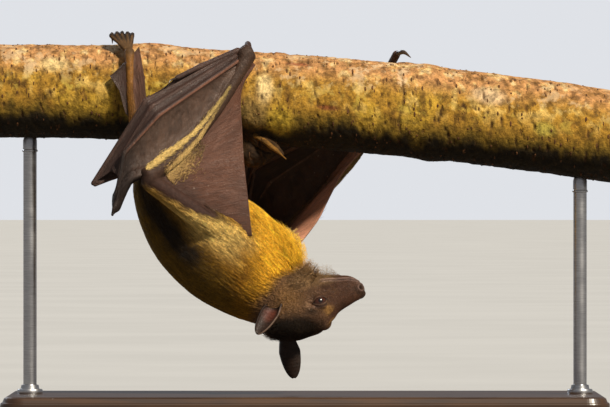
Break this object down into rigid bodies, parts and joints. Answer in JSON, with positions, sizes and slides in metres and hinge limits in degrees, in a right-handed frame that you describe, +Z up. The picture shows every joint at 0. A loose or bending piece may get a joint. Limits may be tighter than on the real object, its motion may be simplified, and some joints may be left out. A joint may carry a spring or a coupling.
{
  "type": "fruit bat",
  "caption": "Life-size straw-coloured fruit bat hanging by its feet and wrists under a short cut branch, wings half folded, held by a plain flat base with rods.",
  "frame": {"origin": "middle of the underside of the stand's base", "axes": "+Z up, X along the branch with the bat's nose towards +X, -Y towards the bat's left side"},
  "size_m": [0.4, 0.19, 0.2298],
  "materials": {
    "bark": "rough, pitted and lichened bark",
    "stand_wood": "dark stained, satin",
    "stand_steel": "brushed",
    "coat": "short straw-yellow fur, darker along the back",
    "face_coat": "short brown fur",
    "ear_skin": "thin brown skin",
    "eye": "wet gloss, dark red-brown",
    "bare_skin": "fine-grained brown skin",
    "wing_skin": "thin wrinkled membrane",
    "claw": "dark horn"
  },
  "bodies": {
    "root": {"perch_branch": "bark", "stand_base": "stand_wood", "stand_rod_left": "stand_steel", "stand_rod_right": "stand_steel", "trunk": "coat", "neck": "coat", "head": "face_coat", "tail": "coat", "ear_left": "ear_skin", "eye_left": "eye", "thigh_left": "coat", "shank_left": "bare_skin", "foot_left": "bare_skin", "claw_left_1": "claw", "claw_left_2": "claw", "claw_left_3": "claw", "claw_left_4": "claw", "claw_left_5": "claw", "upper_arm_left": "coat", "forearm_left": "bare_skin", "thumb_left": "bare_skin", "thumb_claw_left": "claw", "finger_claw_left": "claw", "finger_left_2": "bare_skin", "finger_left_3": "bare_skin", "finger_left_4": "bare_skin", "finger_left_5": "bare_skin", "fore_membrane_left": "wing_skin", "arm_membrane_left": "wing_skin", "side_membrane_left": "wing_skin", "tail_membrane_left": "wing_skin", "hand_membrane_left_3": "wing_skin", "hand_membrane_left_4": "wing_skin", "ear_right": "ear_skin", "eye_right": "eye", "thigh_right": "coat", "shank_right": "bare_skin", "foot_right": "bare_skin", "claw_right_1": "claw", "claw_right_2": "claw", "claw_right_3": "claw", "claw_right_4": "claw", "claw_right_5": "claw", "upper_arm_right": "coat", "forearm_right": "bare_skin", "thumb_right": "bare_skin", "thumb_claw_right": "claw", "finger_claw_right": "claw", "finger_right_2": "bare_skin", "finger_right_3": "bare_skin", "finger_right_4": "bare_skin", "finger_right_5": "bare_skin", "fore_membrane_right": "wing_skin", "arm_membrane_right": "wing_skin", "side_membrane_right": "wing_skin", "tail_membrane_right": "wing_skin", "hand_membrane_right_3": "wing_skin", "hand_membrane_right_4": "wing_skin"}
  },
  "joints": []
}
